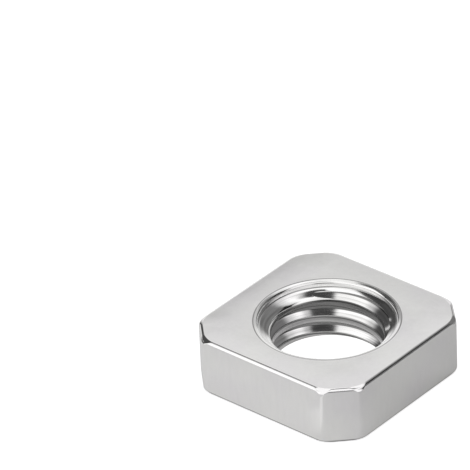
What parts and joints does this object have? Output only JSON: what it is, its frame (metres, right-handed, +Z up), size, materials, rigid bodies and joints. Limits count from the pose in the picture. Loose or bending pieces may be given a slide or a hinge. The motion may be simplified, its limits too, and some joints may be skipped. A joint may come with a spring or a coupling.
{
  "type": "square nut",
  "caption": "Thin square nut with cut-back corners, rolled edges and a right-hand threaded bore that opens through a rounded recess and a countersink.",
  "frame": {"origin": "middle of the bottom face, on the thread's axis", "axes": "+Z up along the thread's axis, out of the recessed mouth of the bore; +X and +Y square to two neighbouring sides"},
  "size_m": [0.016, 0.016, 0.0049],
  "materials": {
    "plated_steel": "bright nickel-like plating, smooth, with fine drawing and handling marks"
  },
  "bodies": {
    "root": {"square_nut": "plated_steel"}
  },
  "joints": []
}
